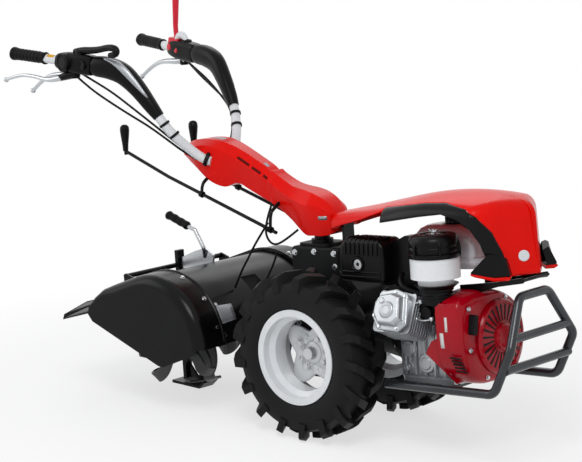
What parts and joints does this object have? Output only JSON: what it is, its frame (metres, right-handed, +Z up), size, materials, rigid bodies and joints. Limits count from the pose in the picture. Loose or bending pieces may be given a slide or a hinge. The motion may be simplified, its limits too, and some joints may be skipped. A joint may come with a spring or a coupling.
{
  "type": "walking tractor with rotary tiller",
  "caption": "Two-wheel walking tractor with an open petrol engine under a bonnet, handlebars on a swinging column and a rear rotary tiller.",
  "frame": {"origin": "on the floor under the middle of the machine's length and width", "axes": "+X forward towards the engine, +Y to the left, +Z up"},
  "size_m": [1.9584, 0.68, 1.2672],
  "materials": {
    "cast_grey": "satin",
    "bright_red": "gloss",
    "crimson": "gloss",
    "black_plastic": "matt",
    "satin_black": "satin",
    "gunmetal": "satin",
    "white_paint": "gloss",
    "tyre_rubber": "matt",
    "grip_rubber": "matt",
    "cast_aluminium": "cast",
    "tank_white": "gloss",
    "band_white": "satin",
    "bright_steel": "bright",
    "safety_red": "gloss",
    "tine_steel": "satin"
  },
  "bodies": {
    "chassis": {"gearbox": "cast_grey", "clutch_housing": "cast_grey", "engine_crankcase": "cast_aluminium", "engine_cylinder": "cast_aluminium", "valve_cover": "cast_aluminium", "fan_cover": "crimson", "recoil_starter": "crimson", "recoil_grip": "grip_rubber", "silencer": "satin_black", "carburettor": "cast_aluminium", "air_cleaner_base": "band_white", "air_cleaner_lid": "black_plastic", "fuel_tank": "tank_white", "bumper": "gunmetal", "bonnet_stay": "satin_black", "column_base": "cast_grey", "tiller_gear_case": "cast_grey", "tiller_hood": "satin_black", "side_covers": "satin_black", "hinge_bar": "satin_black", "depth_skid": "satin_black", "depth_lever": "bright_steel", "depth_grip": "grip_rubber"},
    "bonnet_lid": {"bonnet": "bright_red", "bonnet_trims": "black_plastic", "bonnet_grilles": "black_plastic"},
    "swing_post": {"handlebar_post": "cast_grey"},
    "handlebar": {"handlebar_column": "bright_red", "handle_tubes": "white_paint", "handle_covers": "black_plastic", "grips": "grip_rubber", "control_housings": "black_plastic", "hand_levers": "bright_steel", "throttle_lever": "black_plastic", "safety_lever": "safety_red", "gear_rods": "satin_black", "rod_knobs": "grip_rubber"},
    "wheel_right": {"tyre_right": "tyre_rubber", "rim_right": "white_paint", "wheel_disc_right": "white_paint", "axle_right": "bright_steel"},
    "wheel_left": {"tyre_left": "tyre_rubber", "rim_left": "white_paint", "wheel_disc_left": "white_paint", "axle_left": "bright_steel"},
    "rotor": {"tine_rotor": "tine_steel"},
    "flap": {"rear_flap": "satin_black"}
  },
  "joints": [
    {"name": "wheel_right_roll", "type": "hinge", "parent": "chassis", "child": "wheel_right", "pos_m": [0.27088, -0.19, 0.255], "axis": [0, 1, 0], "continuous": true},
    {"name": "wheel_left_roll", "type": "hinge", "parent": "chassis", "child": "wheel_left", "pos_m": [0.27088, 0.19, 0.255], "axis": [0, 1, 0], "continuous": true},
    {"name": "rotor_spin", "type": "hinge", "parent": "chassis", "child": "rotor", "pos_m": [-0.26867, 0, 0.21482], "axis": [0, 1, 0], "continuous": true},
    {"name": "flap_hinge", "type": "hinge", "parent": "chassis", "child": "flap", "pos_m": [-0.47925, 0, 0.34998], "axis": [0, 1, 0], "range_deg": [0, 55]},
    {"name": "bonnet_hinge", "type": "hinge", "parent": "chassis", "child": "bonnet_lid", "pos_m": [0.93769, 0, 0.55024], "axis": [0, 1, 0], "range_deg": [0, 60]},
    {"name": "handlebar_swing", "type": "hinge", "parent": "chassis", "child": "swing_post", "pos_m": [0.14879, 0, 0.56052], "axis": [-0.0872, 0, 0.9962], "range_deg": [-20, 20]},
    {"name": "handlebar_height", "type": "hinge", "parent": "swing_post", "child": "handlebar", "pos_m": [0.14243, 0, 0.63324], "axis": [0, 1, 0], "range_deg": [-8, 8]}
  ]
}
